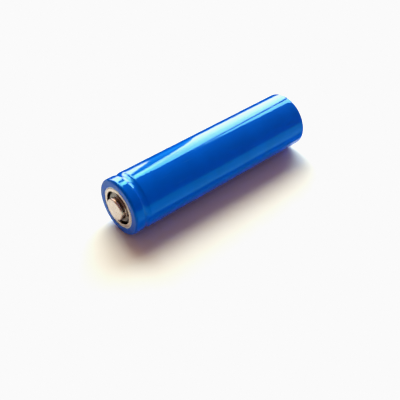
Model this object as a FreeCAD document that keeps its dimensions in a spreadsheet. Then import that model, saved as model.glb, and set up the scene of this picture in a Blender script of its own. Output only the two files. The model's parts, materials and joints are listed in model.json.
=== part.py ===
import FreeCAD, Part
import math
import os
import re
import Sketcher
from FreeCAD import Vector

# A protected rechargeable lithium-ion cell with a raised button pole, lying on its side.
# The cell's axis is parallel to X and its positive pole faces -X; the floor is z = 0.
# Along the axis every station is a distance from the sleeve's positive end face, and every
# height in an outline is a radius, so one outline turned about the axis makes one piece.

DOC = FreeCAD.newDocument("CylindricalCell")
SHEET = DOC.addObject("Spreadsheet::Sheet", "Sizes")

# alias, value in millimetres or degrees, what it is
SIZES = [
    ("sleeve_radius", 9.15, "outside of the shrink sleeve"),
    ("sleeve_wall", 0.1, "sleeve film"),
    ("sleeve_length", 69.8, "from one folded end of the sleeve to the other"),
    ("body_length", 70.0, "positive sleeve face to negative contact face"),
    ("button_rise", 1.4, "button top above the positive sleeve face"),
    ("near_mouth", 6.7, "sleeve opening at the positive end"),
    ("far_mouth", 6.6, "sleeve opening at the negative end"),
    ("near_corner", 0.8, "rounding of the sleeve's positive end"),
    ("far_corner", 0.6, "rounding of the sleeve's negative end"),
    ("groove_station", 4.34, "middle of the bead groove"),
    ("groove_half", 1.4, "half the width of the groove at the wall"),
    ("sleeve_dip", 0.28, "how far the sleeve sinks into the groove"),
    ("sleeve_shoulder", 1.0, "rounding where the sleeve enters the groove"),
    ("can_dip", 0.9, "depth of the can's groove"),
    ("can_shoulder", 0.7, "rounding where the can enters its groove"),
    ("washer_sheet", 0.2, "white paper washer under the sleeve's near fold"),
    ("washer_bore", 6.35, "hole of that washer"),
    ("washer_rim", 8.3, "its outer radius"),
    ("strap_sheet", 0.08, "nickel strap along the can"),
    ("strap_spread", 25.0, "angle that the strap covers"),
    ("strap_turn", -35.0, "where the strap runs, counted from +Y about +X"),
    ("lip_sheet", 0.06, "paper between the can and the strap"),
    ("lip_spread", 31.0, "angle that the paper strip under the strap covers"),
    ("ridge_spread", 37.0, "angle of the sleeve's bulge over the strap"),
    ("channel_spread", 33.0, "angle of the space under that bulge"),
    ("ridge_start", 0.6, "where the bulge begins"),
    ("ridge_full", 1.1, "where it has its full height"),
    ("ridge_fade", 69.2, "where it starts to fall"),
    ("ridge_end", 69.5, "where it ends"),
    ("can_length", 65.0, "bare can from crimped lip to base"),
    ("can_wall", 0.2, "drawn steel wall"),
    ("can_floor", 0.3, "base of the can"),
    ("can_corner", 0.9, "rounding of the crimped lip"),
    ("can_foot", 0.6, "rounding of the base"),
    ("lip_bore", 7.0, "opening inside the crimped lip"),
    ("plate_sheet", 0.3, "steel of the button plate"),
    ("plate_rim", 6.3, "outer radius of the button plate"),
    ("plate_ring", 5.45, "inner edge of its flat ring"),
    ("foot_drop", 0.4, "how far the button's foot lies below the ring"),
    ("strap_lap", 0.5, "how far the strap reaches under that ring"),
    ("foot_rim", 4.7, "outer edge of the foot"),
    ("button_radius", 3.6, "outside of the button"),
    ("button_edge", 0.5, "rounding of the button's rim"),
    ("foot_bend", 0.2, "rounding between button and foot"),
    ("slot_inner", 4.6, "inner edge of the vent slots"),
    ("slot_outer", 5.5, "outer edge of the vent slots"),
    ("slot_angle", 100.0, "angle of one vent slot"),
    ("slot_count", 3.0, "number of vent slots"),
    ("leg_turn", 112.0, "a leg between two slots, from -Y towards +Z"),
    ("gasket_wall", 0.3, "polypropylene gasket"),
    ("gasket_mouth", 7.1, "opening of the gasket's upper lip"),
    ("gasket_base", 6.6, "opening of the gasket's lower lip"),
    ("gasket_end", 2.9, "station of the gasket's lower face"),
    ("stack_rim", 8.45, "radius of the discs held in the gasket"),
    ("cap_sheet", 0.3, "steel of the flat top cap"),
    ("cap_top", 4.6, "radius of the cap's raised middle"),
    ("cap_slope", 6.4, "radius where its slope meets the flange"),
    ("cap_port", 0.55, "radius of the gas ports in the slope"),
    ("cap_port_ring", 5.6, "radius that the ports lie on"),
    ("cap_port_count", 6.0, "number of ports"),
    ("ptc_sheet", 0.3, "current-limiting ring"),
    ("ptc_bore", 4.9, "its hole"),
    ("vent_sheet", 0.3, "aluminium safety vent"),
    ("vent_flat", 5.6, "inner edge of the vent's flange"),
    ("vent_dish", 3.2, "radius of its dished middle"),
    ("vent_drop", 0.5, "depth of that dish"),
    ("vent_nipple", 0.9, "radius of the point welded to the perforated disc"),
    ("vent_gap", 1.0, "space between vent and perforated disc"),
    ("score_width", 0.25, "scored ring that tears when the vent opens"),
    ("score_depth", 0.18, "depth of the score"),
    ("holder_bore", 5.65, "inner radius of the plastic holder"),
    ("holder_rim", 6.4, "outer radius of the plastic holder"),
    ("contact_sheet", 0.4, "perforated aluminium disc"),
    ("contact_hole", 0.7, "radius of its gas holes"),
    ("contact_ring", 3.9, "radius that they lie on"),
    ("contact_hole_count", 6.0, "number of gas holes"),
    ("tab_sheet", 0.1, "both tabs"),
    ("cathode_tab_width", 2.4, "width of the aluminium tab"),
    ("cathode_tab_height", 1.45, "height of the tab over the axis"),
    ("cathode_tab_end", 14.0, "how far it reaches into the winding"),
    ("anode_tab_width", 3.0, "width of the nickel tab"),
    ("anode_tab_height", 8.6, "distance of the tab's run from the axis"),
    ("anode_tab_start", 52.0, "where the tab begins beside the winding"),
    ("cover_start", 5.95, "disc over the winding"),
    ("cover_sheet", 0.3, "its thickness"),
    ("cover_rim", 8.6, "its radius"),
    ("cover_bore", 2.1, "its middle hole"),
    ("cover_port_ring", 5.2, "radius that its gas holes lie on"),
    ("cover_port_count", 4.0, "number of its gas holes"),
    ("roll_start", 6.4, "where the separators begin"),
    ("roll_length", 58.0, "width of the separators"),
    ("anode_inset", 0.6, "separator past the anode at each end"),
    ("cathode_inset", 1.4, "separator past the cathode at each end"),
    ("roll_core", 2.05, "radius of the winding's first turn"),
    ("roll_pitch", 0.37, "growth per turn"),
    ("layer_gap", 0.005, "air between two layers"),
    ("anode_sheet_thick", 0.145, "coated copper foil"),
    ("cathode_sheet_thick", 0.155, "coated aluminium foil"),
    ("separator_thick", 0.025, "porous film"),
    ("roll_half_turns", 33.0, "half turns of the winding"),
    ("wrap_radius", 8.52, "inside of the closing tape"),
    ("wrap_sheet", 0.05, "closing tape"),
    ("wrap_length", 20.0, "width of the closing tape"),
    ("pin_radius", 1.25, "hollow steel pin in the winding"),
    ("pin_wall", 0.2, "its sheet"),
    ("pin_length", 56.0, "its length"),
    ("pin_slit", 0.5, "the slit along it"),
    ("base_disc_rim", 8.4, "disc under the winding"),
    ("base_disc_sheet", 0.3, "its thickness"),
    ("base_disc_bore", 1.5, "its middle hole"),
    ("base_paper_sheet", 0.2, "ring of paper on the can's base"),
    ("base_paper_bore", 4.2, "its hole"),
    ("base_paper_rim", 8.7, "its radius"),
    ("link_sheet", 0.15, "nickel link from can to board"),
    ("link_width", 3.0, "its width"),
    ("link_side", 3.5, "where it turns up"),
    ("link_reach", 2.5, "length of each foot past the turn"),
    ("carrier_bore", 7.6, "inside of the board's carrier ring"),
    ("carrier_rim", 8.75, "outside of the carrier ring"),
    ("board_start", 68.3, "inner face of the protection board"),
    ("board_sheet", 1.0, "its thickness"),
    ("board_radius", 8.75, "its radius"),
    ("test_hole", 0.3, "radius of the holes for test pins"),
    ("test_hole_ring", 7.6, "radius that they lie on"),
    ("test_hole_count", 2.0, "number of them"),
    ("strap_foot", 8.3, "how far in the strap's soldered foot reaches"),
    ("strap_bend", 0.3, "inner radius of the strap's far bend"),
    ("negative_sheet", 0.3, "steel of the negative contact"),
    ("negative_rim", 8.1, "its outer radius"),
    ("negative_flat", 6.1, "its raised middle"),
    ("negative_slope", 6.4, "foot of the step around it"),
    ("tail_washer_bore", 6.5, "thin washer under the sleeve's far fold"),
    ("tail_washer_rim", 8.0, "its outer radius"),
    ("chip_rise", 1.1, "height of the moulded chips"),
    ("switch_place", 4.6, "distance of each power switch from the board's middle"),
    ("switch_width", 4.4, "width of its moulding between the two rows of leads"),
    ("switch_row", 3.0, "length of its moulding along the rows"),
    ("switch_leads", 4.0, "leads in one of its rows"),
    ("guard_place", 5.2, "distance of the protection chip from the board's middle"),
    ("guard_width", 1.6, "width of its moulding"),
    ("guard_row", 2.9, "length of its moulding"),
    ("guard_leads", 3.0, "leads in one of its rows"),
    ("guard_pitch", 0.95, "spacing of its leads"),
    ("lead_sheet", 0.15, "their leads"),
    ("lead_width", 0.3, "width of a lead"),
    ("lead_pitch", 0.65, "spacing of the power switches' leads"),
    ("lead_reach", 0.95, "how far a lead stands out"),
    ("ceramic_width", 0.8, "width of the two-ended parts"),
    ("ceramic_length", 1.6, "their length"),
    ("ceramic_end", 0.34, "length of a tinned end"),
    ("ceramic_tin", 0.03, "how far the tin stands proud of the body"),
    ("resistor_rise", 0.45, "height of a resistor"),
    ("resistor_across", 5.0, "where the resistors stand, across"),
    ("resistor_up", 4.0, "and up or down"),
    ("capacitor_rise", 0.8, "height of the capacitor"),
    ("capacitor_across", -5.0, "where it stands, across"),
    ("capacitor_up", 3.4, "and up"),
]
ALIASES = {alias for alias, value, note in SIZES}

for row, (alias, value, note) in enumerate(SIZES, start=1):
    SHEET.set(f"A{row}", note)
    SHEET.set(f"B{row}", str(value))
    SHEET.setAlias(f"B{row}", alias)
DOC.recompute()

# Stations that follow from the sheets stacked at each end.
STRAP_TOP = "(sleeve_wall + washer_sheet)"
LIP_PAPER = "(sleeve_wall + washer_sheet + strap_sheet)"
CAN_TOP = "(sleeve_wall + washer_sheet + strap_sheet + lip_sheet)"
CAN_END = f"({CAN_TOP} + can_length)"
CAP_FACE = "(foot_drop + plate_sheet)"
CAP_FLANGE = f"({CAN_TOP} + can_wall + gasket_wall)"
PTC_FACE = f"({CAP_FLANGE} + cap_sheet)"
VENT_FACE = f"({PTC_FACE} + ptc_sheet)"
HOLDER_FACE = f"({VENT_FACE} + vent_sheet)"
CONTACT_FACE = f"({HOLDER_FACE} + vent_gap)"
TAB_FACE = f"({CONTACT_FACE} + contact_sheet)"
BOARD_END = "(board_start + board_sheet)"
CAN_RADIUS = "(sleeve_radius - sleeve_wall)"
CAN_BORE = "(sleeve_radius - sleeve_wall - can_wall)"
STRAP_INSIDE = f"({CAN_RADIUS} + lip_sheet)"
STRAP_OUTSIDE = f"({CAN_RADIUS} + lip_sheet + strap_sheet)"
CORNER_STATION = f"({CAN_TOP} + can_corner)"
CORNER_RADIUS = f"({CAN_RADIUS} - can_corner)"

PARTS = []


def size(expression):
    """The number that an expression of sheet aliases gives now."""
    return float(SHEET.evalExpression(str(expression)))


def bound(expression):
    """The same expression, written for a property outside the sheet."""
    return re.sub(r"[a-z_]+", lambda word: f"Sizes.{word[0]}" if word[0] in ALIASES else word[0],
                  str(expression))


def origin_item(body, role):
    return next(item for item in body.Origin.OriginFeatures if item.Role == role)


def seat(part, turn="0"):
    """Put a piece on the cell's axis, turned about it, and keep it as a sub-part."""
    part.Placement = FreeCAD.Placement(Vector(0, 0, 0), FreeCAD.Rotation(Vector(1, 0, 0), size(turn)))
    part.setExpression("Placement.Base.x", bound("(button_rise - body_length) / 2"))
    part.setExpression("Placement.Base.z", bound("sleeve_radius"))
    PARTS.append(part)
    return part


def arc_through(start, end, radius, side):
    """Circle, start and end angle of the minor arc whose centre lies to the given side."""
    chord = end - start
    to_left = Vector(-chord.y, chord.x, 0).normalize()
    offset = math.sqrt(max(radius ** 2 - (chord.Length / 2) ** 2, 0.0))
    centre = start + chord / 2 + to_left * (offset if side == "left" else -offset)
    first, last = (start, end) if side == "left" else (end, start)
    angles = [math.atan2(point.y - centre.y, point.x - centre.x) for point in (first, last)]
    return Part.ArcOfCircle(Part.Circle(centre, Vector(0, 0, 1), radius), *angles)


def hold(sketch, edge, end, axis, expression):
    """Fix one coordinate of an edge's end to an expression of the sheet."""
    value = size(expression)
    if abs(value) < 1e-9:
        along = -2 if axis == "DistanceX" else -1
        sketch.addConstraint(Sketcher.Constraint("PointOnObject", edge, end, along))
        return
    number = sketch.addConstraint(Sketcher.Constraint(axis, -1, 1, edge, end, value))
    sketch.setExpression(f"Constraints[{number}]", bound(expression))


def outline(body, name, corners, plane="XY_Plane"):
    """A closed sketch through corners, each (across, up) or (across, up, arc radius, centre side)."""
    sketch = body.newObject("Sketcher::SketchObject", name)
    sketch.AttachmentSupport = (origin_item(body, plane), [""])
    sketch.MapMode = "FlatFace"
    points = [Vector(size(corner[0]), size(corner[1]), 0) for corner in corners]
    ends = []
    for index, corner in enumerate(corners):
        start, end = points[index - 1], points[index]
        if len(corner) == 2:
            edge = sketch.addGeometry(Part.LineSegment(start, end), False)
            ends.append((edge, 1, 2))
            continue
        radius, side = corner[2], corner[3]
        edge = sketch.addGeometry(arc_through(start, end, size(radius), side), False)
        ends.append((edge, 1, 2) if side == "left" else (edge, 2, 1))
        number = sketch.addConstraint(Sketcher.Constraint("Radius", edge, size(radius)))
        sketch.setExpression(f"Constraints[{number}]", bound(radius))
    for index, corner in enumerate(corners):
        edge, start_end, finish_end = ends[index]
        following, following_start, following_finish = ends[(index + 1) % len(ends)]
        sketch.addConstraint(
            Sketcher.Constraint("Coincident", edge, finish_end, following, following_start))
        hold(sketch, edge, finish_end, "DistanceX", corner[0])
        hold(sketch, edge, finish_end, "DistanceY", corner[1])
    return sketch


def spin(body, kind, sketch, spread=None):
    """Turn a sketch about the axis, all round or over an angle centred on the sketch."""
    feature = body.newObject(f"PartDesign::{kind}", f"{sketch.Name}_{kind.lower()}")
    feature.Profile = sketch
    feature.ReferenceAxis = (sketch, ["H_Axis"])
    feature.Midplane = True
    feature.Angle = 360.0
    if spread:
        feature.setExpression("Angle", bound(spread))
    return feature


def turned(label, corners, spread=None, turn="0"):
    """A piece that is one outline turned about the axis."""
    body = DOC.addObject("PartDesign::Body", label)
    spin(body, "Revolution", outline(body, f"{label}_outline", corners), spread)
    return seat(body, turn)


def disc(label, start, thickness, bore, rim):
    """A flat ring, or a plain disc where the bore is 0."""
    end = f"({start} + {thickness})"
    return turned(label, [(start, bore), (start, rim), (end, rim), (end, bore)])


def cut_through(body, sketch, count=None):
    """Cut a sketch through the piece along the axis, repeated evenly about it."""
    pocket = body.newObject("PartDesign::Pocket", f"{sketch.Name}_cut")
    pocket.Profile = sketch
    pocket.Type = "ThroughAll"
    pocket.Midplane = True
    if count is None:
        return
    pattern = body.newObject("PartDesign::PolarPattern", f"{sketch.Name}_ring")
    pattern.Originals = [pocket]
    pattern.Axis = (origin_item(body, "X_Axis"), [""])
    pattern.Angle = 360.0
    pattern.setExpression("Occurrences", bound(count))
    body.Tip = pattern


def polar(radius, angle):
    """Across and up of a point on a circle about the axis, the angle counted from -Y."""
    return f"-{radius} * cos({angle} * 1deg)", f"{radius} * sin({angle} * 1deg)"


def round_holes(body, radius, ring, count):
    """Round holes along the axis, evenly spaced on a circle."""
    sketch = body.newObject("Sketcher::SketchObject", f"{body.Name}_hole")
    sketch.AttachmentSupport = (origin_item(body, "YZ_Plane"), [""])
    sketch.MapMode = "FlatFace"
    circle = sketch.addGeometry(Part.Circle(Vector(size(ring), 0, 0), Vector(0, 0, 1), size(radius)), False)
    hold(sketch, circle, 3, "DistanceX", ring)
    hold(sketch, circle, 3, "DistanceY", "0")
    number = sketch.addConstraint(Sketcher.Constraint("Radius", circle, size(radius)))
    sketch.setExpression(f"Constraints[{number}]", bound(radius))
    cut_through(body, sketch, count)


def groove(wall, dip, shoulder):
    """Corners of the rounded groove, entered along the wall towards +X.

    Two convex shoulders and a concave bottom are tangent to each other and to the wall.
    """
    reach = f"((groove_half ^ 2 + {dip} ^ 2) / (2 * {dip}))"
    bottom = f"({reach} - {shoulder})"
    run = f"({shoulder} * groove_half / {reach})"
    fall = f"({shoulder} * {dip} / {reach})"
    return [
        ("groove_station - groove_half", wall),
        (f"groove_station - groove_half + {run}", f"{wall} - {fall}", shoulder, "right"),
        (f"groove_station + groove_half - {run}", f"{wall} - {fall}", bottom, "left"),
        ("groove_station + groove_half", wall, shoulder, "right"),
    ]


def mirrored_groove(wall, dip, shoulder):
    """The same groove walked back towards -X, on the inner surface."""
    entry = groove(wall, dip, shoulder)
    reach = f"((groove_half ^ 2 + {dip} ^ 2) / (2 * {dip}))"
    bottom = f"({reach} - {shoulder})"
    return [
        entry[3][:2],
        (entry[2][0], entry[2][1], shoulder, "left"),
        (entry[1][0], entry[1][1], bottom, "right"),
        (entry[0][0], entry[0][1], shoulder, "left"),
    ]


def make_sleeve():
    """PVC film shrunk round the cell, folded over both ends, bulging over the strap."""
    inside = f"({CAN_RADIUS})"
    far = "sleeve_length"
    corners = [
        ("0", "near_mouth"),
        ("0", "sleeve_radius - near_corner"),
        ("near_corner", "sleeve_radius", "near_corner", "right"),
        *groove("sleeve_radius", "sleeve_dip", "sleeve_shoulder"),
        (f"{far} - far_corner", "sleeve_radius"),
        (far, "sleeve_radius - far_corner", "far_corner", "right"),
        (far, "far_mouth"),
        (f"{far} - sleeve_wall", "far_mouth"),
        (f"{far} - sleeve_wall", "sleeve_radius - far_corner"),
        (f"{far} - far_corner", inside, "far_corner - sleeve_wall", "left"),
        *mirrored_groove(inside, "sleeve_dip", "(sleeve_shoulder - sleeve_wall)"),
        ("near_corner", inside),
        ("sleeve_wall", "sleeve_radius - near_corner", "near_corner - sleeve_wall", "left"),
        ("sleeve_wall", "near_mouth"),
    ]
    body = turned("shrink_sleeve", corners, turn="strap_turn")
    ridge = outline(body, "ridge_outline", [
        ("ridge_start", inside),
        ("ridge_full", f"{STRAP_OUTSIDE} + sleeve_wall"),
        ("ridge_fade", f"{STRAP_OUTSIDE} + sleeve_wall"),
        ("ridge_end", inside),
    ])
    spin(body, "Revolution", ridge, "ridge_spread")
    channel = outline(body, "channel_outline", [
        ("ridge_start + sleeve_wall", f"{inside} - sleeve_dip"),
        ("ridge_start + sleeve_wall", inside),
        ("ridge_full", STRAP_OUTSIDE),
        ("ridge_fade", STRAP_OUTSIDE),
        ("ridge_end - sleeve_wall", f"{inside} - sleeve_wall / 2"),
        ("ridge_end - sleeve_wall", f"{inside} - sleeve_dip"),
    ])
    spin(body, "Groove", channel, "channel_spread")


def make_can():
    """Deep-drawn steel can: crimped lip, bead groove, straight wall, rounded base."""
    turned("steel_can", [
        (CAN_TOP, "lip_bore"),
        (CAN_TOP, CORNER_RADIUS),
        (CORNER_STATION, CAN_RADIUS, "can_corner", "right"),
        *groove(CAN_RADIUS, "can_dip", "can_shoulder"),
        (f"{CAN_END} - can_foot", CAN_RADIUS),
        (CAN_END, f"{CAN_RADIUS} - can_foot", "can_foot", "right"),
        (CAN_END, "0"),
        (f"{CAN_END} - can_floor", "0"),
        (f"{CAN_END} - can_floor", f"{CAN_RADIUS} - can_foot"),
        (f"{CAN_END} - can_floor - can_foot + can_wall", CAN_BORE, "can_foot - can_wall", "left"),
        *mirrored_groove(CAN_BORE, "can_dip", "(can_shoulder - can_wall)"),
        (CORNER_STATION, CAN_BORE),
        (f"{CAN_TOP} + can_wall", CORNER_RADIUS, "can_corner - can_wall", "left"),
        (f"{CAN_TOP} + can_wall", "lip_bore"),
    ])


def make_papers():
    """Insulating washers under the sleeve's two folds, on the lip and under the strap."""
    disc("top_washer", "sleeve_wall", "washer_sheet", "washer_bore", "washer_rim")
    disc("lip_washer", LIP_PAPER, "lip_sheet", "lip_bore", CORNER_RADIUS)
    disc("tail_washer", "sleeve_length - 2 * sleeve_wall", "sleeve_wall",
         "tail_washer_bore", "tail_washer_rim")
    disc("base_paper", CAN_END, "base_paper_sheet", "base_paper_bore", "base_paper_rim")
    turned("strap_paper", [
        (LIP_PAPER, CORNER_RADIUS),
        (CORNER_STATION, STRAP_INSIDE, "can_corner + lip_sheet", "right"),
        ("board_start", STRAP_INSIDE),
        ("board_start", CAN_RADIUS),
        (CORNER_STATION, CAN_RADIUS),
        (CAN_TOP, CORNER_RADIUS, "can_corner", "left"),
    ], "lip_spread", "strap_turn")


def make_strap():
    """Nickel strip from the button plate over the lip and along the can to the board's rim."""
    bend_station = f"({BOARD_END} - strap_bend)"
    bend_radius = f"({STRAP_INSIDE} - strap_bend)"
    turned("positive_strap", [
        (STRAP_TOP, "plate_rim - strap_lap"),
        (STRAP_TOP, CORNER_RADIUS),
        (CORNER_STATION, STRAP_OUTSIDE, "can_corner + lip_sheet + strap_sheet", "right"),
        (bend_station, STRAP_OUTSIDE),
        (f"{BOARD_END} + strap_sheet", bend_radius, "strap_bend + strap_sheet", "right"),
        (f"{BOARD_END} + strap_sheet", "strap_foot"),
        (BOARD_END, "strap_foot"),
        (BOARD_END, bend_radius),
        (bend_station, STRAP_INSIDE, "strap_bend", "left"),
        (CORNER_STATION, STRAP_INSIDE),
        (LIP_PAPER, CORNER_RADIUS, "can_corner + lip_sheet", "left"),
        (LIP_PAPER, "plate_rim - strap_lap"),
    ], "strap_spread", "strap_turn")


def make_button_plate():
    """Stamped positive pole: raised button, sunken foot, and a flat ring held by three legs."""
    edge = "(button_edge - plate_sheet)"
    inside = "(button_radius - plate_sheet)"
    body = turned("button_plate", [
        ("-button_rise", "0"),
        ("-button_rise", "button_radius - button_edge"),
        ("button_edge - button_rise", "button_radius", "button_edge", "right"),
        ("foot_drop - foot_bend", "button_radius"),
        ("foot_drop", "button_radius + foot_bend", "foot_bend", "left"),
        ("foot_drop", "foot_rim"),
        ("0", "plate_ring"),
        ("0", "plate_rim"),
        ("plate_sheet", "plate_rim"),
        ("plate_sheet", "plate_ring"),
        (CAP_FACE, "foot_rim"),
        (CAP_FACE, "button_radius + foot_bend"),
        ("foot_drop - foot_bend", inside, "foot_bend + plate_sheet", "right"),
        ("button_edge - button_rise", inside),
        ("plate_sheet - button_rise", "button_radius - button_edge", edge, "left"),
        ("plate_sheet - button_rise", "0"),
    ])
    start = "(leg_turn + 180 / slot_count - slot_angle / 2)"
    finish = "(leg_turn + 180 / slot_count + slot_angle / 2)"
    slot = outline(body, "slot_outline", [
        (*polar("slot_inner", start), "slot_inner", "left"),
        polar("slot_outer", start),
        (*polar("slot_outer", finish), "slot_outer", "right"),
        polar("slot_inner", finish),
    ], "YZ_Plane")
    cut_through(body, slot, "slot_count")


def make_gasket():
    """Polypropylene seal that the lip is crimped onto; it grips the rims of the cap's discs."""
    turned("crimp_gasket", [
        (f"{CAN_TOP} + can_wall", "gasket_mouth"),
        (f"{CAN_TOP} + can_wall", CORNER_RADIUS),
        (CORNER_STATION, CAN_BORE, "can_corner - can_wall", "right"),
        ("gasket_end", CAN_BORE),
        ("gasket_end", "gasket_base"),
        (HOLDER_FACE, "gasket_base"),
        (HOLDER_FACE, "stack_rim"),
        (CAP_FLANGE, "stack_rim"),
        (CAP_FLANGE, "gasket_mouth"),
    ])


def make_cap_stack():
    """Top cap, current-limiting ring, safety vent and perforated disc, all clamped in the gasket."""
    cap = turned("top_cap", [
        (CAP_FACE, "0"),
        (CAP_FACE, "cap_top"),
        (CAP_FLANGE, "cap_slope"),
        (CAP_FLANGE, "stack_rim"),
        (PTC_FACE, "stack_rim"),
        (PTC_FACE, "cap_slope"),
        (f"{CAP_FACE} + cap_sheet", "cap_top"),
        (f"{CAP_FACE} + cap_sheet", "0"),
    ])
    round_holes(cap, "cap_port", "cap_port_ring", "cap_port_count")
    disc("ptc_ring", PTC_FACE, "ptc_sheet", "ptc_bore", "stack_rim")
    dish = f"({VENT_FACE} + vent_drop)"
    vent = turned("safety_vent", [
        (dish, "0"),
        (dish, "vent_dish"),
        (VENT_FACE, "vent_flat"),
        (VENT_FACE, "stack_rim"),
        (HOLDER_FACE, "stack_rim"),
        (HOLDER_FACE, "vent_flat"),
        (f"{dish} + vent_sheet", "vent_dish"),
        (f"{dish} + vent_sheet", "vent_nipple"),
        (CONTACT_FACE, "vent_nipple / 2"),
        (CONTACT_FACE, "0"),
    ])
    score = outline(vent, "score_outline", [
        (f"{dish} + vent_sheet - score_depth", "vent_dish / 2"),
        (f"{dish} + vent_sheet", "vent_dish / 2 - score_width / 2"),
        (f"{dish} + vent_sheet", "vent_dish / 2 + score_width / 2"),
    ])
    spin(vent, "Groove", score)
    disc("vent_holder", HOLDER_FACE, "vent_gap", "holder_bore", "holder_rim")
    contact = disc("contact_disc", CONTACT_FACE, "contact_sheet", "0", "holder_rim")
    round_holes(contact, "contact_hole", "contact_ring", "contact_hole_count")


def strip(label, corners, width, turn="0"):
    """A bent strip: its side view, given its width evenly about the cell's middle plane."""
    body = DOC.addObject("PartDesign::Body", label)
    pad = body.newObject("PartDesign::Pad", f"{label}_pad")
    pad.Profile = outline(body, f"{label}_outline", corners)
    pad.Midplane = True
    pad.setExpression("Length", bound(width))
    return seat(body, turn)


def make_tabs():
    """Aluminium tab up to the perforated disc, nickel tab down to the base of the can."""
    top = "(cathode_tab_height + tab_sheet)"
    strip("cathode_tab", [
        ("cathode_tab_end", "cathode_tab_height"),
        ("cathode_tab_end", top),
        (TAB_FACE, top),
        (TAB_FACE, "-cathode_tab_height"),
        (f"{TAB_FACE} + tab_sheet", "-cathode_tab_height"),
        (f"{TAB_FACE} + tab_sheet", "cathode_tab_height"),
    ], "cathode_tab_width", "90")
    floor = f"({CAN_END} - can_floor)"
    outside = "(anode_tab_height + tab_sheet)"
    bend = "(can_foot - tab_sheet)"
    strip("anode_tab", [
        ("anode_tab_start", "anode_tab_height"),
        ("anode_tab_start", outside),
        (f"{floor} - {bend}", outside),
        (floor, f"{outside} - {bend}", bend, "right"),
        (floor, "0"),
        (f"{floor} - tab_sheet", "0"),
        (f"{floor} - tab_sheet", f"{outside} - {bend}"),
        (f"{floor} - {bend}", "anode_tab_height", f"{bend} - tab_sheet", "left"),
    ], "anode_tab_width", "-90")


def spiral_edges(radius, first, last):
    """Half circles from two centres half a pitch apart, each half a pitch larger than the one before."""
    pitch = size("roll_pitch")
    edges = []
    for half_turn in range(first, last):
        side = 1 if half_turn % 2 == 0 else -1
        reach = radius + half_turn * pitch / 2
        middle = -side * pitch / 4
        ends = [Vector(0, middle + side * reach, 0), Vector(0, middle - side * reach, 0)]
        edges.append(Part.Arc(ends[0], Vector(0, middle, side * reach), ends[1]).toShape())
    return edges


def wound_sheet(label, offset, thickness, inset, first, last):
    """One sheet of the winding, of even thickness from its first half turn to its last."""
    inner = spiral_edges(size(f"roll_core + {offset}"), first, last)
    outer = spiral_edges(size(f"roll_core + {offset} + {thickness}"), first, last)
    start = Part.makeLine(inner[0].firstVertex(True).Point, outer[0].firstVertex(True).Point)
    finish = Part.makeLine(inner[-1].lastVertex(True).Point, outer[-1].lastVertex(True).Point)
    face = Part.Face(Part.Wire(Part.__sortEdges__([*inner, *outer, start, finish])))
    sheet = DOC.addObject("Part::Feature", label)
    length = size(f"roll_length - 2 * {inset}")
    shift = Vector(size(f"roll_start + {inset}"), 0, 0)
    sheet.Shape = face.translated(shift).extrude(Vector(length, 0, 0))
    return seat(sheet)


def make_winding():
    """Anode, separator, cathode and separator rolled together round a slit pin, and the tape."""
    turns = int(size("roll_half_turns"))
    first_film = "(anode_sheet_thick + layer_gap)"
    cathode = f"({first_film} + separator_thick + layer_gap)"
    second_film = f"({cathode} + cathode_sheet_thick + layer_gap)"
    wound_sheet("anode_sheet", "0", "anode_sheet_thick", "anode_inset", 0, turns)
    wound_sheet("inner_separator", first_film, "separator_thick", "0", 0, turns)
    wound_sheet("cathode_sheet", cathode, "cathode_sheet_thick", "cathode_inset", 1, turns - 1)
    wound_sheet("outer_separator", second_film, "separator_thick", "0", 0, turns)
    middle = "(roll_start + roll_length / 2)"
    disc("closing_tape", f"({middle} - wrap_length / 2)", "wrap_length",
         "wrap_radius", "wrap_radius + wrap_sheet")
    pin = disc("centre_pin", f"({middle} - pin_length / 2)", "pin_length",
               "pin_radius - pin_wall", "pin_radius")
    slit = outline(pin, "slit_outline", [
        ("0", "-pin_slit / 2"),
        ("pin_radius", "-pin_slit / 2"),
        ("pin_radius", "pin_slit / 2"),
        ("0", "pin_slit / 2"),
    ], "YZ_Plane")
    cut_through(pin, slit)


def make_insulators():
    """Plastic discs that keep the winding off the cap and off the base."""
    cover = disc("cover_disc", "cover_start", "cover_sheet", "cover_bore", "cover_rim")
    round_holes(cover, "contact_hole", "cover_port_ring", "cover_port_count")
    start = f"({CAN_END} - can_floor - 2 * tab_sheet - base_disc_sheet)"
    disc("base_disc", start, "base_disc_sheet", "base_disc_bore", "base_disc_rim")


def box(name, start, across, up, lengths):
    """A block centred across and up, beginning at a station; lengths are along, across and up."""
    block = DOC.addObject("Part::Box", name)
    for prop, expression in zip(("Length", "Width", "Height"), lengths):
        block.setExpression(prop, bound(expression))
    block.setExpression("Placement.Base.x", bound(start))
    block.setExpression("Placement.Base.y", bound(f"{across} - {lengths[1]} / 2"))
    block.setExpression("Placement.Base.z", bound(f"{up} - {lengths[2]} / 2"))
    return block


def fused(label, blocks):
    union = DOC.addObject("Part::MultiFuse", label)
    union.Shapes = blocks
    return seat(union)


def chip(label, across, up, width, row, leads, pitch):
    """A moulded chip standing on the board's inner face, with a row of leads on each side."""
    blocks = [box(f"{label}_body", "(board_start - chip_rise)", across, up, ("chip_rise", width, row))]
    for side in (-1, 1):
        for lead in range(int(size(leads))):
            place = f"({up} + ({lead} - ({leads} - 1) / 2) * {pitch})"
            middle = f"({across} + {side} * ({width} + lead_reach) / 2)"
            blocks.append(box(f"{label}_lead", "(board_start - lead_sheet)", middle, place,
                              ("lead_sheet", "lead_reach", "lead_width")))
    fused(label, blocks)


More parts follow.
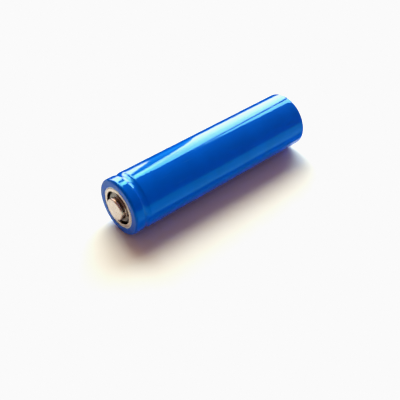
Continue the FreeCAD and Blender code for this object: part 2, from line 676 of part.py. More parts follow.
def ceramic(label, across, up, rise):
    """A two-ended ceramic part: a body between two slightly thicker tinned ends."""
    blocks = [box(f"{label}_body", f"(board_start - {rise})", across, up,
                  (rise, "ceramic_width", "ceramic_length"))]
    for side in (-1, 1):
        place = f"({up} + {side} * ((ceramic_length - ceramic_end) / 2 + ceramic_tin))"
        blocks.append(box(f"{label}_end", f"(board_start - {rise} - ceramic_tin)", across, place,
                          (f"({rise} + ceramic_tin)", "(ceramic_width + 2 * ceramic_tin)", "ceramic_end")))
    fused(label, blocks)


def make_protection():
    """Board, carrier, chips and link that guard the cell against misuse, and the negative pole."""
    carrier_length = f"(board_start - {CAN_END} - base_paper_sheet)"
    disc("board_carrier", f"({CAN_END} + base_paper_sheet)", carrier_length, "carrier_bore", "carrier_rim")
    board = disc("protection_board", "board_start", "board_sheet", "0", "board_radius")
    round_holes(board, "test_hole", "test_hole_ring", "test_hole_count")
    for label, up in (("power_switch_1", "switch_place"), ("power_switch_2", "-switch_place")):
        chip(label, "0", up, "switch_width", "switch_row", "switch_leads", "lead_pitch")
    chip("protection_chip", "-guard_place", "0", "guard_width", "guard_row", "guard_leads", "guard_pitch")
    ceramic("supply_resistor", "resistor_across", "resistor_up", "resistor_rise")
    ceramic("sense_resistor", "resistor_across", "-resistor_up", "resistor_rise")
    ceramic("filter_capacitor", "capacitor_across", "capacitor_up", "capacitor_rise")
    strip("negative_link", [
        (CAN_END, "link_side - 2 * link_reach"),
        (CAN_END, "link_side"),
        ("board_start - link_sheet", "link_side"),
        ("board_start - link_sheet", "link_side + link_reach"),
        ("board_start", "link_side + link_reach"),
        ("board_start", "link_side - link_sheet"),
        (f"{CAN_END} + link_sheet", "link_side - link_sheet"),
        (f"{CAN_END} + link_sheet", "link_side - 2 * link_reach"),
    ], "link_width")
    face = f"({BOARD_END} + negative_sheet)"
    turned("negative_plate", [
        (BOARD_END, "negative_rim"),
        (face, "negative_rim"),
        (face, "negative_slope"),
        ("body_length", "negative_flat"),
        ("body_length", "0"),
        ("body_length - negative_sheet", "0"),
        ("body_length - negative_sheet", "negative_flat - negative_sheet / 2"),
        (BOARD_END, "negative_slope - negative_sheet / 2"),
    ])


def export_parts():
    """Check every object and write each sub-part to its own file."""
    DOC.recompute()
    failed = [item.Name for item in DOC.Objects if {"Invalid", "Error"} & set(item.State)]
    if failed:
        raise RuntimeError(f"features failed: {failed}")
    for part in PARTS:
        if part.Shape.isNull() or not part.Shape.isValid() or len(part.Shape.Solids) != 1:
            raise RuntimeError(f"{part.Label} is not one valid solid")
    os.makedirs("parts", exist_ok=True)
    for part in PARTS:
        part.Shape.exportStep(f"parts/{part.Label}.step")
        print(f"{part.Label:20} {part.Shape.Volume:10.3f} mm3")


make_sleeve()
make_papers()
make_strap()
make_button_plate()
make_can()
make_gasket()
make_cap_stack()
make_tabs()
make_winding()
make_insulators()
make_protection()
export_parts()
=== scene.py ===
"""Looks of a cylindrical battery cell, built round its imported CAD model.

The cell lies on a pale floor along X with its button facing -X. Stations are distances in metres
from the sleeve's positive face. Angles round the cell start at -Y and turn towards +Z.
"""

import json
from math import atan2, ceil, cos, pi, radians, sin, tan

import bmesh
import bpy
from mathutils import Matrix, Vector


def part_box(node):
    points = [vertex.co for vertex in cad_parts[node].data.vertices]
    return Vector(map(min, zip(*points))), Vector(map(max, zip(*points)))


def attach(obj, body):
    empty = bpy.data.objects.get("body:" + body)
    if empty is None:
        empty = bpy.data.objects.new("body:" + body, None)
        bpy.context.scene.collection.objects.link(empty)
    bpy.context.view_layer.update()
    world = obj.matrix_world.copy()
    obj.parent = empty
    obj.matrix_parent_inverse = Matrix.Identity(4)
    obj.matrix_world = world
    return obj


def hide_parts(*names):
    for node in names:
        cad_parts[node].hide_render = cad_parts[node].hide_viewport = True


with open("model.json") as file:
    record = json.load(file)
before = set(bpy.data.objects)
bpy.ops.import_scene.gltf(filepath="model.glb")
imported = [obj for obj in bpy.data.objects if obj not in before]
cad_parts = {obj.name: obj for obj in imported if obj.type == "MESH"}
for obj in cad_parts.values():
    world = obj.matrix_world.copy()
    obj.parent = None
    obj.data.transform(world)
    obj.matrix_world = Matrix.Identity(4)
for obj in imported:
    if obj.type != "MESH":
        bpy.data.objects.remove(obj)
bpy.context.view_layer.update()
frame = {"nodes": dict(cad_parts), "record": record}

MM = 0.001

# Places read from the frame.
SLEEVE_LOW, SLEEVE_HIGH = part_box("shrink_sleeve")
SLEEVE_RADIUS = (SLEEVE_HIGH.z - SLEEVE_LOW.z) / 2
SLEEVE_LENGTH = SLEEVE_HIGH.x - SLEEVE_LOW.x
AXIS_HEIGHT = SLEEVE_LOW.z + SLEEVE_RADIUS
NEAR_FACE = SLEEVE_LOW.x
BUTTON_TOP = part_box("button_plate")[0].x - NEAR_FACE
PLATE_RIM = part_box("button_plate")[1].z - AXIS_HEIGHT
CONTACT_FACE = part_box("negative_plate")[1].x - NEAR_FACE
CONTACT_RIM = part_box("negative_plate")[1].z - AXIS_HEIGHT
NEAR_WASHER_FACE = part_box("top_washer")[0].x - NEAR_FACE
NEAR_WASHER_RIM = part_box("top_washer")[1].z - AXIS_HEIGHT
FAR_WASHER_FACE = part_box("tail_washer")[1].x - NEAR_FACE
FAR_WASHER_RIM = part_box("tail_washer")[1].z - AXIS_HEIGHT

# Sleeve.
FILM = 0.1 * MM
NEAR_MOUTH = 6.7 * MM
FAR_MOUTH = 6.6 * MM
NEAR_CORNER = 0.8 * MM
FAR_CORNER = 0.6 * MM
GROOVE_STATION = 4.34 * MM
GROOVE_HALF = 1.4 * MM
GROOVE_DIP = 0.28 * MM
GROOVE_SHOULDER = 1.0 * MM
RIDGE_RADIUS = 9.29 * MM
RIDGE_ANGLE = radians(215)
RIDGE_FLAT = radians(13)
RIDGE_FOOT = radians(18.5)
RIDGE_START = 0.6 * MM
RIDGE_FULL = 1.1 * MM
RIDGE_FADE = 69.2 * MM
RIDGE_END = 69.5 * MM
FILM_WAVE = 0.0025 * MM
PLEAT_HEIGHT = 0.05 * MM
MOUTH_WAVE = 0.08 * MM

# Button plate, whose vent slots are counted from a leg.
PLATE_SHEET = 0.3 * MM
BUTTON_RADIUS = 3.6 * MM
BUTTON_EDGE = 0.5 * MM
FOOT_BEND = 0.2 * MM
FOOT_STATION = 0.4 * MM
FOOT_RIM = 4.7 * MM
PLATE_RING = 5.45 * MM
SLOT_INNER = 4.6 * MM
SLOT_OUTER = 5.5 * MM
SLOT_COUNT = 3
SLOT_ANGLE = radians(100)
LEG_TURN = radians(112)

# Paper rings and negative contact.
NEAR_WASHER_BORE = 6.35 * MM
NEAR_WASHER_SHEET = 0.2 * MM
FAR_WASHER_BORE = 6.5 * MM
FAR_WASHER_SHEET = 0.1 * MM
CONTACT_SHEET = 0.3 * MM
CONTACT_FLAT = 6.1 * MM
CONTACT_SLOPE = 6.4 * MM
CONTACT_STEP = 0.4 * MM

# Plating: from the middle of the cell the steel turns satin over SATIN_RUN, by SATIN of roughness.
SATIN = 0.22
SATIN_RUN = 10 * MM

# Camera, as azimuth from -Y towards +X and elevation, round a point at the height of the axis.
CAMERA_AZIMUTH = radians(-40.445)
CAMERA_ELEVATION = radians(40.581)
CAMERA_ROLL = radians(-0.548)
CAMERA_DISTANCE = 222.53 * MM
CAMERA_TARGET = Vector((-13.76 * MM, -13.20 * MM, AXIS_HEIGHT))
CAMERA_LENS = 67.2

# Window wall: distance from the cell and the azimuth of its normal, from +X towards +Y.
WALL_DISTANCE = 0.8
WALL_AZIMUTH = radians(55.7)

# Window as the film mirrors it. It is dimmest at the sill and reaches its glow at WINDOW_BRIGHT.
# An edge is how far across the wall its foot and its head are.
PANE_GLOW = (12.5, 11.8, 12.0)
POST_GLOW = (0.1, 1.0, 1.2)
SILL_SHARE = 0.4
WINDOW_SILL = 0.066
WINDOW_BRIGHT = 0.42
WINDOW_HEAD = 1.28
WINDOW_RIGHT = (-1.0, -1.0)
GAP_RIGHT = (-0.404, -0.404)
GAP_LEFT = (-0.316, -0.316)
POST_RIGHT = (0.047, -0.05)
POST_LEFT = (0.118, 0.02)
WINDOW_LEFT = (0.5, 0.5)

# Cards that the film mirrors: lengths from the cell's middle, and heights.
FLAG_DISTANCE = 0.1
FLAG_HALF = 0.4
FLAG_LOW = 0.0005
FLAG_HIGH = 0.024
CARD_LIFT = 0.0002
CARD_NEAR = 0.0095
FLAG_FAR = 0.3
SHADE_END = 0.018
CARD_FAR = 0.5

# Window's light: middle across and up the wall, width and height, and strength.
WINDOW_MIDDLE = -0.1
WINDOW_HEIGHT = 0.88
WINDOW_SIZE = (1.3, 1.1)
WINDOW_COLOUR = (0.734, 0.987, 1.0)
WINDOW_POWER = 39.9
FILM_LIGHT_COLOUR = (0.6, 1.45, 1.0)
FILM_LIGHT_POWER = 20.5

# Room, exposure and floor.
ROOM_LIGHT = (0.305, 0.18, 0.153)
WHITEST = 0.956
FLOOR_REACH = 0.6
FLOOR_CORNERS = 48
FLOOR_GLOW = 0.9
FLOOR_GLOW_START = 0.12
FLOOR_GLOW_END = 0.45

# Warm light from above and behind: direction, distance, width and strength.
LAMP_AZIMUTH = radians(70)
LAMP_ELEVATION = radians(58)
LAMP_DISTANCE = 0.8
LAMP_WIDTH = 0.4
LAMP_COLOUR = (1.0, 0.667, 0.274)
LAMP_POWER = 3.4


# ---------------------------------------------------------------- meshes

def place(station, radius, angle):
    """The point at a station, radius and angle of the cell, in the row frame."""
    return Vector((
        NEAR_FACE + station,
        -radius * cos(angle),
        AXIS_HEIGHT + radius * sin(angle),
    ))


def arc(centre, start, end, steps):
    """Points from start to end round centre, the short way."""
    first = start - centre
    last = end - centre
    turn = atan2(first.x * last.y - first.y * last.x, first.dot(last))
    return [centre + Matrix.Rotation(turn * step / steps, 2) @ first for step in range(steps + 1)]


def rounded(corners, steps=6):
    """The line through corners, each (station, radius, rounding), with the corners turned to arcs."""
    points = [Vector(corner[:2]) for corner in corners]
    line = [points[0]]
    for before, here, after, corner in zip(points, points[1:], points[2:], corners[1:]):
        rounding = corner[2]
        if rounding == 0:
            line.append(here)
            continue
        back = (before - here).normalized()
        ahead = (after - here).normalized()
        half = back.angle(ahead) / 2
        reach = rounding / tan(half)
        centre = here + (back + ahead).normalized() * rounding / sin(half)
        line += arc(centre, here + back * reach, here + ahead * reach, steps)
    return line + [points[-1]]


def divided(line, longest):
    """The same line with no run more than a hundredth longer than longest."""
    made = [line[0]]
    for start, end in zip(line, line[1:]):
        count = max(1, ceil((end - start).length / longest - 0.01))
        made += [start.lerp(end, step / count) for step in range(1, count + 1)]
    return made


def turned_sheet(name, line, angles, thickness, shift=None, gone=None, bevel=0.0):
    """A sheet turned about the cell's axis from its outer line, thickened inwards.

    Each of angles is a number or a function of the radius. shift(station, radius, angle) moves a
    point, and gone(ring, column) leaves a cell of the sheet out.
    """
    mesh = bmesh.new()
    rings = []
    for station, radius in line:
        if radius == 0:
            rings.append([mesh.verts.new(place(station, 0, 0))] * len(angles))
            continue
        row = []
        for given in angles:
            angle = given(radius) if callable(given) else given
            spot = shift(station, radius, angle) if shift else (station, radius)
            row.append(mesh.verts.new(place(*spot, angle)))
        rings.append(row)
    for ring, (inner, outer) in enumerate(zip(rings, rings[1:])):
        for column in range(len(angles)):
            if gone and gone(ring, column):
                continue
            following = (column + 1) % len(angles)
            corners = [inner[column], inner[following], outer[following], outer[column]]
            mesh.faces.new(list(dict.fromkeys(corners)))
    loose = [vert for vert in mesh.verts if not vert.link_faces]
    bmesh.ops.delete(mesh, geom=loose, context="VERTS")
    bmesh.ops.recalc_face_normals(mesh, faces=mesh.faces)
    return finished(name, mesh, thickness, bevel)


def finished(name, mesh, thickness, bevel):
    """The object made of a mesh of one skin, with its thickness and its edges broken."""
    data = bpy.data.meshes.new(name)
    for face in mesh.faces:
        face.smooth = True
    mesh.to_mesh(data)
    mesh.free()
    piece = bpy.data.objects.new(name, data)
    bpy.context.scene.collection.objects.link(piece)
    sheet = piece.modifiers.new("sheet", "SOLIDIFY")
    sheet.thickness = thickness
    sheet.offset = -1
    if bevel:
        edges = piece.modifiers.new("edges", "BEVEL")
        edges.width = bevel
        edges.segments = 2
        edges.limit_method = "ANGLE"
        edges.angle_limit = radians(50)
    return piece


def all_round(count):
    """Evenly spaced angles round the cell."""
    return [2 * pi * column / count for column in range(count)]


def ease(value, start, end):
    """0 at start, 1 at end and smooth between them, whichever of the two is larger."""
    share = min(1.0, max(0.0, (value - start) / (end - start)))
    return share * share * (3 - 2 * share)


# ---------------------------------------------------------------- pieces

def groove_line():
    """The sleeve's outer line through the bead groove: two shoulders and a hollow, all tangent."""
    reach = (GROOVE_HALF ** 2 + GROOVE_DIP ** 2) / (2 * GROOVE_DIP)
    hollow = reach - GROOVE_SHOULDER
    run = GROOVE_SHOULDER * GROOVE_HALF / reach
    fall = GROOVE_SHOULDER * GROOVE_DIP / reach
    first = GROOVE_STATION - GROOVE_HALF
    last = GROOVE_STATION + GROOVE_HALF
    entry = Vector((first + run, SLEEVE_RADIUS - fall))
    leave = Vector((last - run, SLEEVE_RADIUS - fall))
    bottom = Vector((GROOVE_STATION, SLEEVE_RADIUS - GROOVE_DIP + hollow))
    near = Vector((first, SLEEVE_RADIUS - GROOVE_SHOULDER))
    far = Vector((last, SLEEVE_RADIUS - GROOVE_SHOULDER))
    line = arc(near, Vector((first, SLEEVE_RADIUS)), entry, 8)
    line += arc(bottom, entry, leave, 16)[1:]
    line += arc(far, leave, Vector((last, SLEEVE_RADIUS)), 8)[1:]
    return line


def sleeve_line():
    """The sleeve's outer line from one mouth to the other."""
    near = rounded([
        (0, NEAR_MOUTH, 0),
        (0, SLEEVE_RADIUS, NEAR_CORNER),
        (GROOVE_STATION - GROOVE_HALF, SLEEVE_RADIUS, 0),
    ], steps=12)
    far = rounded([
        (GROOVE_STATION + GROOVE_HALF, SLEEVE_RADIUS, 0),
        (SLEEVE_LENGTH, SLEEVE_RADIUS, FAR_CORNER),
        (SLEEVE_LENGTH, FAR_MOUTH, 0),
    ], steps=10)
    near = divided(near, 0.4 * MM)
    far = divided(far[:2], 1.6 * MM)[:-1] + divided(far[1:], 0.4 * MM)
    return near + groove_line()[1:-1] + far


def pleats(angle):
    """How the film gathers round a fold, from -1 to 1."""
    return (
        0.45 * sin(7 * angle + 0.6)
        + 0.3 * sin(13 * angle + 2.2)
        + 0.25 * sin(22 * angle + 4.1)
    )


def film_wave(station, angle):
    """Slow unevenness of the shrunk film along the wall, from about -1 to 1."""
    along = station / MM
    return (
        0.5 * sin(2 * pi * along / 19 + 3 * angle + 0.4)
        + 0.3 * sin(2 * pi * along / 11 - 4 * angle + 2.1)
        + 0.2 * sin(2 * pi * along / 7 + 5 * angle + 4.0)
    )


def film(station, radius, angle):
    """Where a point of the plain turned sleeve goes: pleated folds, a bulge over the strap."""
    fold = ease(radius, SLEEVE_RADIUS - NEAR_CORNER, NEAR_MOUTH)
    if station < SLEEVE_LENGTH / 2:
        station -= PLEAT_HEIGHT * fold * pleats(angle)
        radius += MOUTH_WAVE * fold * pleats(angle + 0.9)
    else:
        station += PLEAT_HEIGHT * fold * 0.5 * (pleats(angle + 2.0) - 1)
        radius += MOUTH_WAVE * fold * pleats(angle + 2.7)
    wall = ease(station, 0, 2 * MM) * ease(station, SLEEVE_LENGTH, SLEEVE_LENGTH - 2 * MM)
    radius += FILM_WAVE * wall * film_wave(station, angle)
    off_ridge = abs((angle - RIDGE_ANGLE + pi) % (2 * pi) - pi)
    rise = ease(off_ridge, RIDGE_FOOT, RIDGE_FLAT)
    rise *= ease(station, RIDGE_START, RIDGE_FULL) * ease(station, RIDGE_END, RIDGE_FADE)
    radius += rise * (RIDGE_RADIUS - radius)
    return station, radius


def make_sleeve():
    """PVC film shrunk round the cell, sunk into the groove and gathered over both ends."""
    return turned_sheet("sleeve_film", sleeve_line(), all_round(240), FILM, shift=film)


def button_line():
    """The button plate's outer line from its middle to its rim."""
    line = rounded([
        (BUTTON_TOP, 0, 0),
        (BUTTON_TOP, BUTTON_RADIUS, BUTTON_EDGE),
        (FOOT_STATION, BUTTON_RADIUS, FOOT_BEND),
        (FOOT_STATION, SLOT_INNER, 0),
        (FOOT_STATION, FOOT_RIM, 0),
        (0, PLATE_RING, 0),
        (0, SLOT_OUTER, 0),
        (0, PLATE_RIM, 0),
    ], steps=8)
    return divided(line, 0.35 * MM)


def slot_columns():
    """The angles of the plate's columns, as functions of the radius, and which are in a slot."""
    across_slot = 30
    across_leg = 6
    half = (SLOT_OUTER - SLOT_INNER) / 2
    middle = (SLOT_OUTER + SLOT_INNER) / 2
    pitch = 2 * pi / SLOT_COUNT

    def end_of_slot(radius):
        off = min(half, abs(radius - middle))
        return SLOT_ANGLE / 2 - (half - (half ** 2 - off ** 2) ** 0.5) / middle

    def column(slot, share, in_slot):
        slot_centre = LEG_TURN + pitch * (slot + 0.5)

        def angle(radius):
            reach = end_of_slot(radius)
            if in_slot:
                return slot_centre + reach * (2 * share - 1)
            return slot_centre + reach + share * (pitch - 2 * reach)

        return angle

    columns = []
    in_slots = []
    for slot in range(SLOT_COUNT):
        columns += [column(slot, step / across_slot, True) for step in range(across_slot)]
        in_slots += [True] * across_slot
        columns += [column(slot, step / across_leg, False) for step in range(across_leg)]
        in_slots += [False] * across_leg
    return columns, in_slots


def make_button_plate():
    """Stamped pole: raised button, sunken foot, and a flat ring held by legs between slots."""
    line = button_line()
    columns, in_slots = slot_columns()
    slack = 0.01 * MM

    def gone(ring, column):
        inner = min(line[ring].y, line[ring + 1].y)
        outer = max(line[ring].y, line[ring + 1].y)
        return in_slots[column] and inner > SLOT_INNER - slack and outer < SLOT_OUTER + slack

    return turned_sheet("pole_button", line, columns, PLATE_SHEET, gone=gone, bevel=0.04 * MM)


def make_near_washer():
    """Pressed paper ring under the sleeve's near fold."""
    line = divided([
        Vector((NEAR_WASHER_FACE, NEAR_WASHER_BORE)),
        Vector((NEAR_WASHER_FACE, NEAR_WASHER_RIM)),
    ], 0.3 * MM)
    return turned_sheet("paper_ring_near", line, all_round(120), NEAR_WASHER_SHEET, bevel=0.03 * MM)


def make_far_washer():
    """Thin paper ring under the sleeve's far fold."""
    line = divided([
        Vector((FAR_WASHER_FACE, FAR_WASHER_RIM)),
        Vector((FAR_WASHER_FACE, FAR_WASHER_BORE)),
    ], 0.3 * MM)
    return turned_sheet("paper_ring_far", line, all_round(120), FAR_WASHER_SHEET, bevel=0.02 * MM)


def make_contact():
    """Flat negative contact with its raised middle."""
    foot = CONTACT_FACE - CONTACT_STEP
    line = rounded([
        (foot, CONTACT_RIM, 0),
        (foot, CONTACT_SLOPE, 0.25 * MM),
        (CONTACT_FACE, CONTACT_FLAT, 0.25 * MM),
        (CONTACT_FACE, 0, 0),
    ], steps=5)
    return turned_sheet("pole_contact", divided(line, 0.5 * MM), all_round(144), CONTACT_SHEET,
                        bevel=0.04 * MM)


# ---------------------------------------------------------------- materials

class Nodes:
    """Adds nodes to a material or world and links them."""

    def __init__(self, owner):
        owner.use_nodes = True
        self.tree = owner.node_tree
        self.tree.nodes.clear()

    def add(self, kind, inputs=None, **settings):
        """A node with its settings and inputs; an input is a number, a colour or another socket."""
        made = self.tree.nodes.new(kind)
        for key, value in settings.items():
            setattr(made, key, value)
        for key, value in (inputs or {}).items():
            if isinstance(value, bpy.types.NodeSocket):
                self.tree.links.new(value, made.inputs[key])
            else:
                made.inputs[key].default_value = value
        return made

    def spot(self, stretch=(1, 1, 1), turn=(0, 0, 0)):
        """Object coordinates in metres, stretched and turned."""
        plain = self.add("ShaderNodeTexCoord").outputs["Object"]
        mapping = self.add("ShaderNodeMapping", {"Vector": plain, "Scale": stretch, "Rotation": turn})
        return mapping.outputs["Vector"]

    def along(self, axis):
        """One object coordinate in metres."""
        return self.add("ShaderNodeSeparateXYZ", {0: self.spot()}).outputs[axis]

    def noise(self, size, detail=3.0, rough=0.5, stretch=(1, 1, 1), turn=(0, 0, 0)):
        """Noise whose features are about size metres across."""
        made = self.add("ShaderNodeTexNoise", {
            "Vector": self.spot(stretch, turn), "Scale": 1 / size, "Detail": detail, "Roughness": rough,
        })
        return made.outputs["Fac"]

    def ramp(self, value, low, high, first, last):
        """value carried from low..high to first..last, and held there."""
        made = self.add("ShaderNodeMapRange", {
            "Value": value, "From Min": low, "From Max": high, "To Min": first, "To Max": last,
        }, clamp=True)
        return made.outputs["Result"]

    def blend(self, share, first, second):
        """A colour between first and second."""
        made = self.add("ShaderNodeMix", {"Factor": share}, data_type="RGBA")
        # Inputs 6 and 7 and output 2 are the node's colour sockets.
        for socket, colour in ((made.inputs[6], first), (made.inputs[7], second)):
            if isinstance(colour, bpy.types.NodeSocket):
                self.tree.links.new(colour, socket)
            else:
                socket.default_value = (*colour, 1)
        return made.outputs[2]

    def maths(self, operation, first, second):
        """One operation on two values."""
        return self.add("ShaderNodeMath", {0: first, 1: second}, operation=operation).outputs[0]

    def bump(self, height, depth):
        """A normal bent by height, whose full range is depth metres."""
        inputs = {"Height": height, "Distance": depth, "Strength": 1.0}
        return self.add("ShaderNodeBump", inputs).outputs["Normal"]

    def surface(self, **inputs):
        """The principled surface that ends the material; names use _ for spaces."""
        named = {key.replace("_", " "): value for key, value in inputs.items()}
        shader = self.add("ShaderNodeBsdfPrincipled", named)
        self.add("ShaderNodeOutputMaterial", {"Surface": shader.outputs["BSDF"]})


def material(name):
    """A new material and the tool that fills it."""
    made = bpy.data.materials.new(name)
    return made, Nodes(made)


def fold_shade(nodes):
    """1 where the film gathers over either end, else 0: there the film is thicker and duller, and also
    carries painted shade.
    """
    along = nodes.along("X")
    flat = 0.1 * MM
    near = nodes.ramp(along, NEAR_FACE + flat, NEAR_FACE + NEAR_CORNER, 1, 0)
    far = nodes.ramp(along, SLEEVE_HIGH.x - FAR_CORNER, SLEEVE_HIGH.x - flat, 0, 1)
    return nodes.maths("MAXIMUM", near, far)


def sleeve_film():
    """Glossy heat-shrunk PVC: deep blue, a little uneven, with faint rubs and specks, and painted shade
    on the end folds.
    """
    made, nodes = material("sleeve_film")
    cloud = nodes.noise(9 * MM, 2.0)
    deep = (0.0, 0.088, 0.80)
    pale = (0.0, 0.099, 0.87)
    colour = nodes.blend(nodes.ramp(cloud, 0.35, 0.65, 0, 1), deep, pale)
    rub = nodes.noise(0.5 * MM, 2.0, stretch=(0.06, 1, 1), turn=(0, 0, radians(7)))
    rubbed = nodes.ramp(rub, 0.70, 0.80, 0, 0.25)
    colour = nodes.blend(rubbed, colour, (0.05, 0.22, 0.72))
    speck = nodes.add("ShaderNodeTexVoronoi", {"Vector": nodes.spot(), "Scale": 1 / (6 * MM)})
    specks = nodes.ramp(speck.outputs["Distance"], 0.012, 0.02, 0.7, 0)
    colour = nodes.blend(specks, colour, (0.45, 0.65, 0.85))
    fold = fold_shade(nodes)
    # Painted shade on the end folds, together with the deeper blue of the thicker gathered film.
    colour = nodes.blend(fold, colour, (0.0, 0.075, 0.52))
    rough = nodes.ramp(nodes.noise(2 * MM, 3.0), 0.3, 0.7, 0.03, 0.055)
    ripple = nodes.noise(1.6 * MM, 2.0, 0.4)
    nodes.surface(
        Base_Color=colour,
        Roughness=rough,
        IOR=1.5,
        Specular_IOR_Level=nodes.ramp(fold, 0, 1, 0.5, 0.2),
        Specular_Tint=(0.0, 0.85, 1.0, 1),
        Normal=nodes.bump(ripple, 0.0003 * MM),
    )
    return made


def ring_shade(nodes, inner, outer, depth):
    """Mask of painted shade: 1 within depth of the positive face between two radii, fading to 0 over a
    short way.
    """
    side = nodes.along("Y")
    height = nodes.maths("SUBTRACT", nodes.along("Z"), AXIS_HEIGHT)
    square = nodes.maths("ADD", nodes.maths("MULTIPLY", side, side),
                         nodes.maths("MULTIPLY", height, height))
    radius = nodes.maths("SQRT", square, 0)
    fade = 0.2 * MM
    inside = nodes.ramp(radius, inner, inner + fade, 0, 1)
    outside = nodes.ramp(radius, outer - fade, outer, 1, 0)
    near_end = nodes.ramp(nodes.along("X"), NEAR_FACE + depth, NEAR_FACE + depth + fade, 1, 0)
    return nodes.maths("MULTIPLY", nodes.maths("MULTIPLY", inside, outside), near_end)


def stamped_nickel(name, colour, scratch_turn, shaded_ring=None, left=1.0):
    """Nickel-plated stamped steel: fine scratches, faint staining, soft gloss.

    The argument after scratch_turn gives the inner radius, outer radius and depth of a ring of painted
    shade, and left is the share of the colour left there. Towards the negative end the steel is satin
    and greyer.
    """
    made, nodes = material(name)
    stain = nodes.ramp(nodes.noise(1.5 * MM, 4.0), 0.35, 0.65, 0, 1)
    dull = tuple(0.86 * channel for channel in colour)
    scratch = nodes.noise(0.2 * MM, 2.0, 0.5, stretch=(1, 0.08, 1), turn=(scratch_turn, 0, 0))
    dents = nodes.noise(1.2 * MM, 2.0)
    height = nodes.maths("ADD", nodes.maths("MULTIPLY", scratch, 0.1), dents)
    plating = nodes.blend(stain, dull, colour)
    # Painted shade: a ring of the plating is darkened where a recess would be in shadow.
    if shaded_ring:
        dark = tuple(left * channel for channel in colour)
        plating = nodes.blend(ring_shade(nodes, *shaded_ring), plating, dark)
    along = nodes.along("X")
    satin = nodes.ramp(along, 0, SATIN_RUN, 0, SATIN)
    plating = nodes.blend(nodes.ramp(along, 0, SATIN_RUN, 0, 0.8), plating, (0.53, 0.51, 0.47))
    nodes.surface(
        Base_Color=plating,
        Metallic=1.0,
        Roughness=nodes.maths("ADD", nodes.ramp(scratch, 0.3, 0.7, 0.18, 0.34), satin),
        Normal=nodes.bump(height, 0.002 * MM),
    )
    return made


def pole_nickel():
    """The two poles: bright plating, with painted shade in the recess round the button."""
    recess = (BUTTON_RADIUS, FOOT_RIM + 0.25 * MM, 2 * MM)
    return stamped_nickel("pole_nickel", (0.63, 0.51, 0.45), radians(35), recess, left=0.22)


def can_nickel():
    """The can, its cap and the centre pin: drawn steel, with nearly black painted shade on the cap
    under the slots.
    """
    under_slots = (SLOT_INNER - 0.6 * MM, SLOT_OUTER + 0.6 * MM, 4 * MM)
    return stamped_nickel("can_nickel", (0.70, 0.68, 0.64), radians(80), under_slots, left=0.03)


def strip_nickel():
    """Rolled nickel strip."""
    return stamped_nickel("strip_nickel", (0.68, 0.65, 0.59), radians(5))


def white_paper():
    """Pressed insulating paper: short matted fibres."""
    made, nodes = material("white_paper")
    fibres = nodes.noise(0.12 * MM, 4.0, 0.65, stretch=(1, 0.35, 1), turn=(radians(30), 0, 0))
    crossed = nodes.noise(0.15 * MM, 4.0, 0.65, stretch=(1, 1, 0.35), turn=(radians(20), 0, 0))
    mat = nodes.maths("MULTIPLY", nodes.maths("ADD", fibres, crossed), 0.5)
    share = nodes.ramp(mat, 0.35, 0.65, 0, 1)
    nodes.surface(
        Base_Color=nodes.blend(share, (0.68, 0.71, 0.71), (0.80, 0.84, 0.85)),
        Roughness=0.85,
        Normal=nodes.bump(mat, 0.02 * MM),
    )
    return made


def seal_plastic():
    """Moulded polypropylene: milky, waxy, finely textured."""
    made, nodes = material("seal_plastic")
    cloud = nodes.ramp(nodes.noise(2 * MM, 2.0), 0.35, 0.65, 0, 1)
    nodes.surface(
        Base_Color=nodes.blend(cloud, (0.76, 0.79, 0.81), (0.84, 0.86, 0.87)),
        Roughness=nodes.ramp(nodes.noise(0.3 * MM, 3.0), 0.3, 0.7, 0.35, 0.5),
        Subsurface_Weight=0.15,
        Subsurface_Scale=0.3 * MM,
        Normal=nodes.bump(nodes.noise(0.08 * MM, 2.0), 0.003 * MM),
    )
    return made


def ptc_polymer():
    """Carbon-filled polymer between plated faces: near black, slightly grainy."""
    made, nodes = material("ptc_polymer")
    grain = nodes.noise(0.1 * MM, 4.0, 0.7)
    share = nodes.ramp(grain, 0.35, 0.7, 0, 1)
    nodes.surface(
        Base_Color=nodes.blend(share, (0.012, 0.012, 0.013), (0.04, 0.04, 0.042)),
        Roughness=nodes.ramp(grain, 0.3, 0.7, 0.5, 0.7),
        Normal=nodes.bump(grain, 0.008 * MM),
    )
    return made


def vent_aluminium():
    """Soft rolled aluminium: satin with rolling lines."""
    made, nodes = material("vent_aluminium")
    lines = nodes.noise(0.05 * MM, 3.0, stretch=(1, 1, 0.03))
    nodes.surface(
        Base_Color=nodes.blend(lines, (0.70, 0.71, 0.72), (0.82, 0.83, 0.84)),
        Metallic=1.0,
        Roughness=nodes.ramp(lines, 0.3, 0.7, 0.28, 0.42),
        Normal=nodes.bump(lines, 0.002 * MM),
    )
    return made


def electrode_coat(name, dark, light, gloss):
    """Electrode coating: fine powder in a binder, rolled smooth."""
    made, nodes = material(name)
    powder = nodes.noise(0.04 * MM, 4.0, 0.7)
    patch = nodes.noise(3 * MM, 2.0)
    shade = nodes.maths("MULTIPLY", nodes.maths("ADD", powder, patch), 0.5)
    nodes.surface(
        Base_Color=nodes.blend(nodes.ramp(shade, 0.35, 0.65, 0, 1), dark, light),
        Roughness=nodes.ramp(powder, 0.3, 0.7, gloss, gloss + 0.15),
        Normal=nodes.bump(powder, 0.003 * MM),
    )
    return made


def anode_coat():
    """Graphite on copper foil."""
    return electrode_coat("anode_coat", (0.02, 0.02, 0.022), (0.05, 0.05, 0.053), 0.5)


def cathode_coat():
    """Oxide on aluminium foil."""
    return electrode_coat("cathode_coat", (0.008, 0.008, 0.009), (0.022, 0.021, 0.022), 0.6)


def separator_film():
    """Porous polyolefin: milk white, soft sheen, faint stretch lines."""
    made, nodes = material("separator_film")
    stretched = nodes.noise(0.1 * MM, 3.0, stretch=(0.05, 1, 1))
    nodes.surface(
        Base_Color=nodes.blend(stretched, (0.82, 0.82, 0.81), (0.90, 0.90, 0.89)),
        Roughness=0.45,
        Subsurface_Weight=0.1,
        Subsurface_Scale=0.1 * MM,
        Normal=nodes.bump(stretched, 0.002 * MM),
    )
    return made


